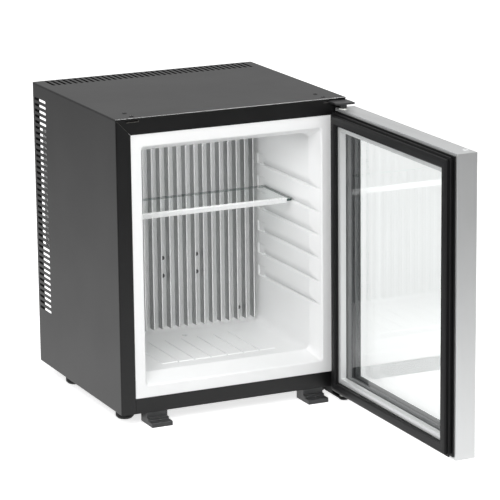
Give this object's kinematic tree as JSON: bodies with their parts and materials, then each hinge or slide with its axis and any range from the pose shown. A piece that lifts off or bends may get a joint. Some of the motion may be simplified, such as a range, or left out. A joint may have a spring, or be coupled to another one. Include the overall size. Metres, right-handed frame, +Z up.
{
  "type": "compact built-in fridge",
  "caption": "Compact built-in fridge: vented black steel cabinet, white liner with shelf grooves and a glass shelf, finned cold plate, triple-glazed door on pin hinges, floor fixing tabs.",
  "frame": {"origin": "on the floor, midway between the holes of the two floor fixing tabs", "axes": "+Z up along the fixing holes, the front faces -Y, +X to the right seen from the front"},
  "size_m": [0.4128, 0.7665, 0.5012],
  "materials": {
    "black_paint": "fine-textured matt black powder coat",
    "white_liner": "white vacuum-formed plastic, satin gloss",
    "silver_frame": "silver satin anodised",
    "fin_aluminium": "plain extruded aluminium",
    "clear_glass": "clear float glass",
    "black_rubber": "soft matt black PVC",
    "spacer_grey": "dark grey spacer bar",
    "black_plastic": "matt black moulded plastic",
    "white_trim": "white extruded trim",
    "black_steel": "black-coated steel",
    "steel": "zinc-plated steel",
    "galvanised": "galvanised sheet",
    "foam": "rigid polyurethane foam",
    "copper": "copper tube",
    "ceramic": "white ceramic",
    "board": "green solder mask",
    "magnet": "bonded ferrite strip",
    "nylon": "natural nylon",
    "lead_red": "PVC-insulated wire"
  },
  "bodies": {
    "cabinet": {"top_panel": "black_paint", "left_side_panel": "black_paint", "right_side_panel": "black_paint", "bottom_panel": "black_paint", "bottom_front_rail": "black_paint", "insulation_foam": "foam", "rear_skin": "galvanised", "inner_liner": "white_liner", "cold_plate": "fin_aluminium", "cold_plate_screws": "steel", "cold_block": "fin_aluminium", "thermoelectric_module": "ceramic", "hot_block": "fin_aluminium", "heat_pipes": "copper", "left_radiator": "fin_aluminium", "right_radiator": "fin_aluminium", "left_radiator_bracket": "galvanised", "right_radiator_bracket": "galvanised", "module_leads": "lead_red", "temperature_sensor": "steel", "control_box": "black_plastic", "control_board": "board", "mains_inlet": "black_plastic", "drain_tube": "white_trim", "drip_tray": "black_plastic", "left_fixing_tab": "black_plastic", "right_fixing_tab": "black_plastic", "fixing_tab_screws": "steel", "hinge_backing_plates": "steel", "hinge_screws": "black_steel", "upper_hinge_plate": "black_steel", "upper_hinge_pin": "black_steel", "lower_hinge_plate": "black_steel", "lower_hinge_pin": "black_steel", "lower_hinge_screws": "steel", "front_left_foot": "black_rubber", "front_right_foot": "black_rubber", "rear_left_foot": "black_rubber", "rear_right_foot": "black_rubber"},
    "shelf": {"shelf_glass": "clear_glass", "shelf_trim": "white_trim"},
    "door": {"door_frame_top": "silver_frame", "door_frame_bottom": "silver_frame", "door_frame_hinge_side": "silver_frame", "door_frame_free_side": "silver_frame", "door_corner_keys": "steel", "inner_glass": "clear_glass", "middle_glass": "clear_glass", "outer_glass": "clear_glass", "inner_spacer": "spacer_grey", "outer_spacer": "spacer_grey", "glazing_bead": "silver_frame", "setting_blocks": "nylon", "door_gasket": "black_rubber", "magnet_strips": "magnet", "door_top_plug": "white_trim", "upper_door_bush": "nylon", "lower_door_bush": "nylon"}
  },
  "joints": [
    {"name": "door_swing", "type": "hinge", "parent": "cabinet", "child": "door", "pos_m": [0.1845, -0.012, 0.25], "axis": [0, 0, 1], "range_deg": [-90, 10]},
    {"name": "shelf_slide", "type": "slide", "parent": "cabinet", "child": "shelf", "axis": [0, -1, 0], "range_m": [0, 0.08]}
  ]
}
